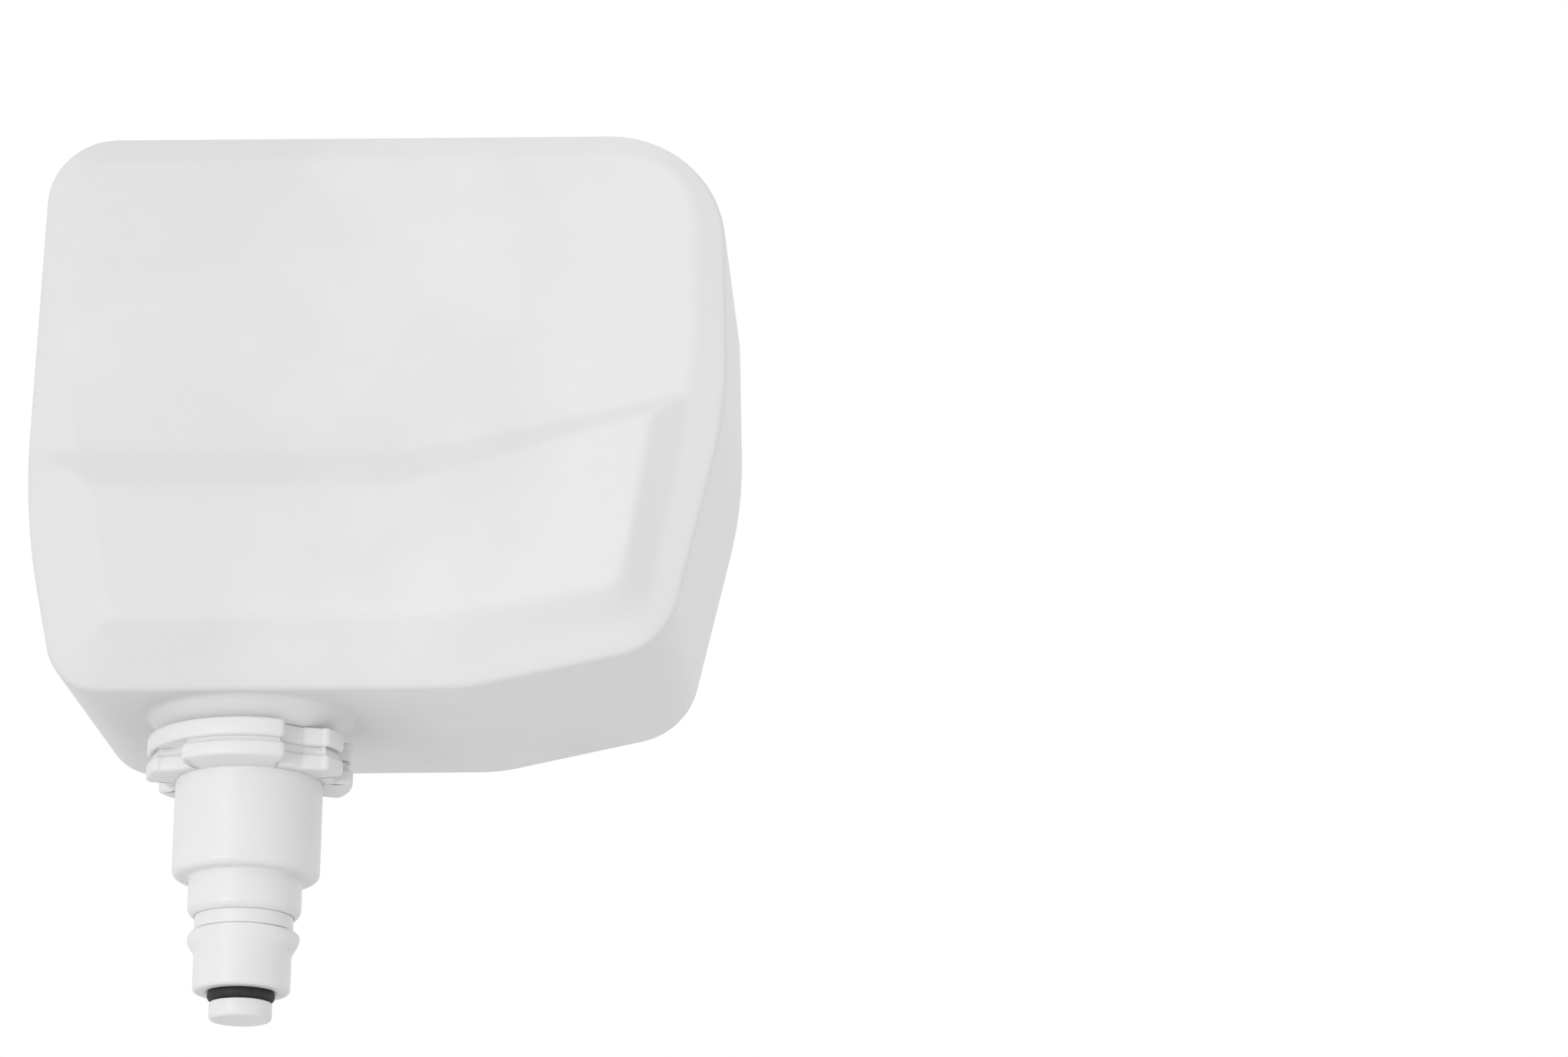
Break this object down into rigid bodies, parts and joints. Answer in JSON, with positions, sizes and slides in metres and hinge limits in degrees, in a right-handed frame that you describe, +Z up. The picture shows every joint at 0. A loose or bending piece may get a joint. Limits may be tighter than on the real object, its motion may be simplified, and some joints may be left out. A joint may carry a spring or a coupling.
{
  "type": "float valve",
  "caption": "Milky blow-moulded tank with keyed neck rings and a stepped, spring-closed plug-in valve with a black tip seal in its base; a float ball guards the inlet.",
  "frame": {"origin": "centre of the top of the housing spigot, just under the locking ring, on the valve axis", "axes": "+Z up along the valve axis into the tank, +X to the right seen from the front, +Y towards the tank's back"},
  "size_m": [0.1437, 0.0793, 0.1829],
  "materials": {
    "milky_plastic": "satin blow-moulded polyethylene",
    "white_plastic": "satin machined or moulded acetal",
    "black_rubber": "matt moulded rubber",
    "spring_steel": "bright stainless spring steel",
    "ball_plastic": "glossy hollow polypropylene",
    "screen_plastic": "matt slotted screen"
  },
  "bodies": {
    "tank_and_housing": {"tank_shell": "milky_plastic", "neck_collar": "white_plastic", "neck_gasket": "black_rubber", "valve_housing": "white_plastic", "return_spring": "spring_steel", "stem_bridge": "white_plastic", "snap_ring": "spring_steel", "poppet_stem": "white_plastic", "stem_washer": "spring_steel", "stem_nut": "spring_steel", "tip_disc": "white_plastic", "tip_oring": "black_rubber", "float_seat": "black_rubber", "inlet_cage": "white_plastic", "strainer_screen": "screen_plastic"},
    "nozzle_group": {"nozzle_sleeve": "white_plastic", "nozzle": "white_plastic", "sleeve_oring": "black_rubber", "nozzle_oring": "black_rubber", "spring_washer": "spring_steel"},
    "locking_ring": {"lock_ring": "white_plastic"},
    "float": {"float_ball": "ball_plastic"}
  },
  "joints": [
    {"name": "nozzle_push", "type": "slide", "parent": "tank_and_housing", "child": "nozzle_group", "axis": [0, 0, 1], "range_m": [0, 0.00275], "stiffness_N_per_m": 160, "springref_m": -0.004, "deforming": ["return_spring"]},
    {"name": "lock_turn", "type": "hinge", "parent": "tank_and_housing", "child": "locking_ring", "pos_m": [0, 0, 0], "axis": [0, 0, 1], "range_deg": [0, 60]},
    {"name": "float_lift", "type": "slide", "parent": "tank_and_housing", "child": "float", "axis": [0, 0, 1], "range_m": [0, 0.008]}
  ]
}
